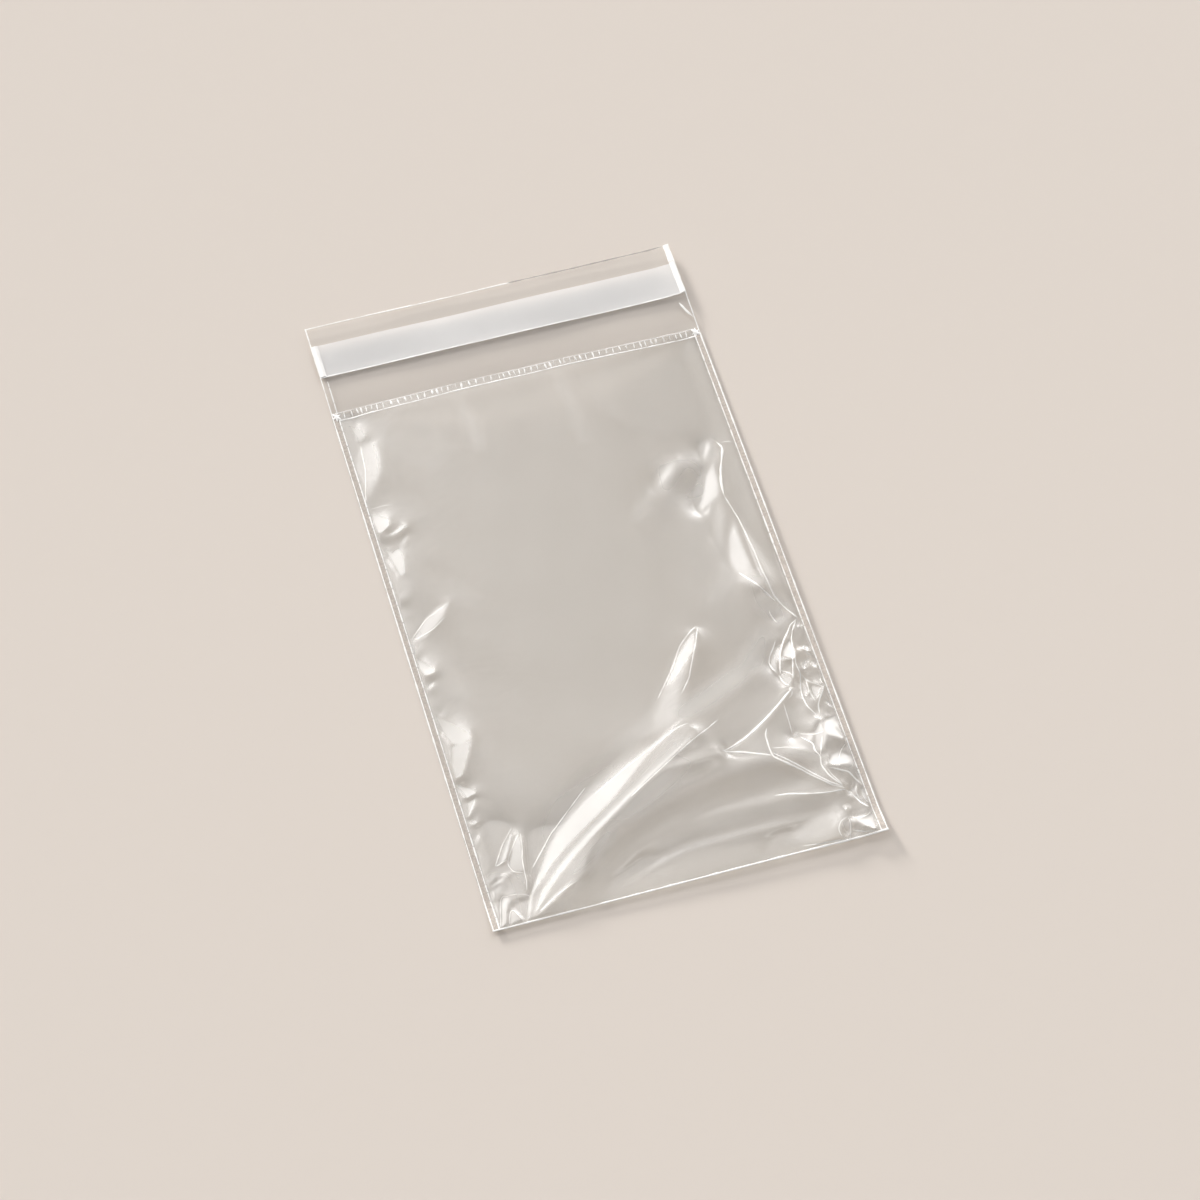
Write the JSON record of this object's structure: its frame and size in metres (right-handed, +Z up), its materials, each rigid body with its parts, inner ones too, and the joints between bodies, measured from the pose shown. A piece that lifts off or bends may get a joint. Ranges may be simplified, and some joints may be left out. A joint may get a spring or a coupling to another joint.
{
  "type": "self-seal plastic bag",
  "caption": "Flat clear film bag, folded at the bottom and welded at the sides, open at the top under a lip with an adhesive strip and peel-off liner. It holds and seals flat goods.",
  "frame": {"origin": "under the middle of the bag, on the surface that its back lies on", "axes": "+X across the bag, +Y from the bottom fold towards the mouth and the lip, +Z up from the back film to the front film"},
  "size_m": [0.16, 0.3, 0.0078],
  "materials": {
    "clear_film": "clear, glossy, with creases",
    "clear_adhesive": "clear, tacky",
    "milky_liner": "milky, satin"
  },
  "bodies": {
    "root": {"bag_film": "clear_film", "adhesive_strip": "clear_adhesive", "release_liner": "milky_liner"}
  },
  "joints": []
}
